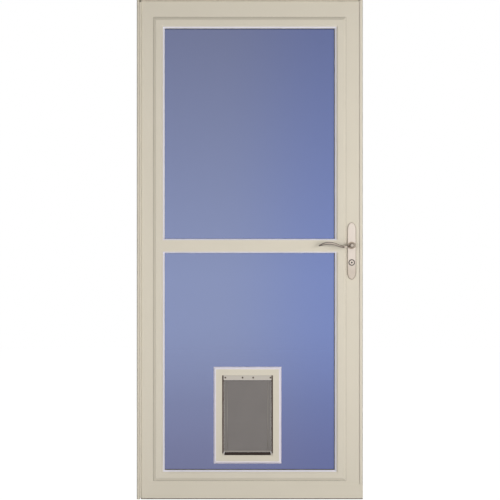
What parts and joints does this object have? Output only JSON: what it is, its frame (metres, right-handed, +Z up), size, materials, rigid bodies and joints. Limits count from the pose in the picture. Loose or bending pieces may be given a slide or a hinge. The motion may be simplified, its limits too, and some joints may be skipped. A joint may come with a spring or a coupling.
{
  "type": "aluminium storm door with pet flap",
  "caption": "Outward-opening aluminium storm door in a Z-bar frame, with tinted glass panes, a pet flap, a lever lock and a continuous hinge.",
  "frame": {"origin": "on the back of the hinge-side flange, on its centre line at the sill, where it seats on the door casing", "axes": "+Z up, +Y into the house, +X from the hinge side to the latch side; the outside of the door faces -Y"},
  "size_m": [0.9144, 0.1316, 2.04],
  "materials": {
    "almond_paint": "satin",
    "grey_pile": "matte",
    "steel": "brushed",
    "tinted_glass": "clear tinted",
    "almond_vinyl": "matte",
    "sweep_vinyl": "matte",
    "mill_aluminium": "satin",
    "satin_nickel": "satin",
    "dark_nickel": "brushed",
    "flap_vinyl": "matte",
    "magnet_strip": "matte"
  },
  "bodies": {
    "frame": {"hinge_side_z_bar": "almond_paint", "latch_side_z_bar": "almond_paint", "header_drip_cap": "almond_paint", "hinge_side_weatherstrip": "grey_pile", "latch_side_weatherstrip": "grey_pile", "header_weatherstrip": "grey_pile", "hinge_frame_plate": "almond_paint", "hinge_pin": "steel"},
    "leaf": {"hinge_door_plate": "almond_paint", "hinge_stile": "almond_paint", "latch_stile": "almond_paint", "top_rail": "almond_paint", "bottom_rail": "almond_paint", "insert_hinge_stile": "almond_paint", "insert_latch_stile": "almond_paint", "insert_top_rail": "almond_paint", "insert_bottom_rail": "almond_paint", "mid_rail": "almond_paint", "upper_glass": "tinted_glass", "lower_glass": "tinted_glass", "upper_glazing_bead": "almond_vinyl", "lower_glazing_bead": "almond_vinyl", "bottom_expander": "almond_paint", "bottom_sweep": "sweep_vinyl", "pet_frame_left": "almond_paint", "pet_frame_right": "almond_paint", "pet_frame_top": "almond_paint", "pet_frame_bottom": "almond_paint", "pet_frame_inside": "almond_paint", "flap_clamp_bar": "mill_aluminium", "flap_corner_stop_left": "mill_aluminium", "flap_corner_stop_right": "mill_aluminium", "outside_escutcheon": "satin_nickel", "inside_escutcheon": "satin_nickel", "lock_cylinder": "satin_nickel", "lock_face_plate": "steel"},
    "lever_set": {"outside_lever": "dark_nickel", "inside_lever": "dark_nickel", "lever_spindle": "steel"},
    "lock_set": {"key_plug": "satin_nickel", "thumb_turn": "satin_nickel"},
    "flap": {"pet_flap": "flap_vinyl", "flap_magnet_strip": "magnet_strip"}
  },
  "joints": [
    {"name": "leaf_swing", "type": "hinge", "parent": "frame", "child": "leaf", "pos_m": [0.008, -0.0114, 1], "axis": [0, 0, -1], "range_deg": [0, 100]},
    {"name": "lever_turn", "type": "hinge", "parent": "leaf", "child": "lever_set", "pos_m": [0.8635, 0.009, 1.027], "axis": [0, -1, 0], "range_deg": [0, 40], "stiffness_Nm_per_rad": 1, "springref_deg": -34.38},
    {"name": "lock_turn", "type": "hinge", "parent": "leaf", "child": "lock_set", "pos_m": [0.8635, 0.009, 0.958], "axis": [0, -1, 0], "range_deg": [0, 90]},
    {"name": "flap_swing", "type": "hinge", "parent": "leaf", "child": "flap", "pos_m": [0.44255, -0.004, 0.4795], "axis": [1, 0, 0], "range_deg": [-75, 75]}
  ]
}
